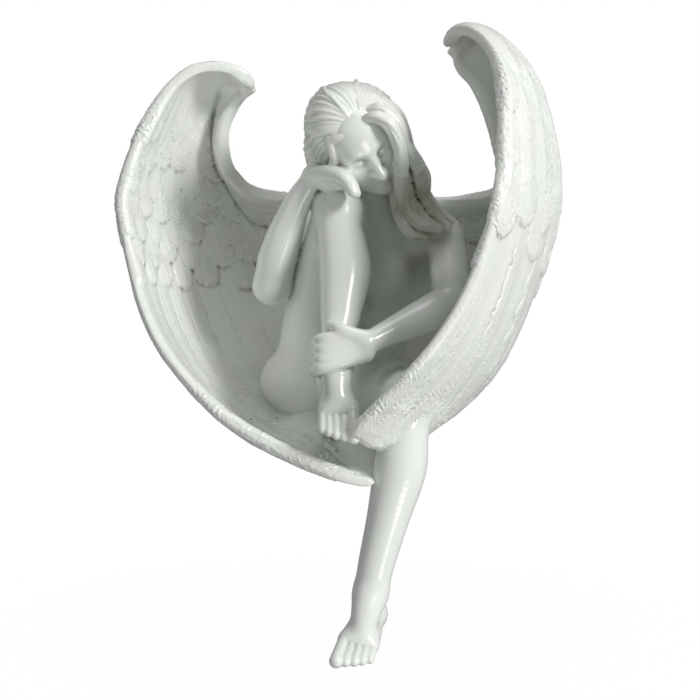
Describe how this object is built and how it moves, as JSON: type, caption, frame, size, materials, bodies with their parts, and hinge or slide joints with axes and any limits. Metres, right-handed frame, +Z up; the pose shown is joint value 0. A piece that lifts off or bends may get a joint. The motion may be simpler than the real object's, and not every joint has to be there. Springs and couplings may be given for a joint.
{
  "type": "angel statue",
  "caption": "Shelf-sitter angel figurine: a seated figure resting its head on a raised knee inside the bowl of its own wings, with the other leg hanging over the shelf's edge.",
  "frame": {"origin": "on the flat seat under the wings, 11.5 mm behind the front edge of the flat", "axes": "+Z up, -Y the front that the figure's knees face, +X towards the figure's left wing"},
  "size_m": [0.107, 0.0762, 0.1493],
  "materials": {
    "white_resin": "glossy white paint over cast resin"
  },
  "bodies": {
    "root": {"angel_statue": "white_resin"}
  },
  "joints": []
}
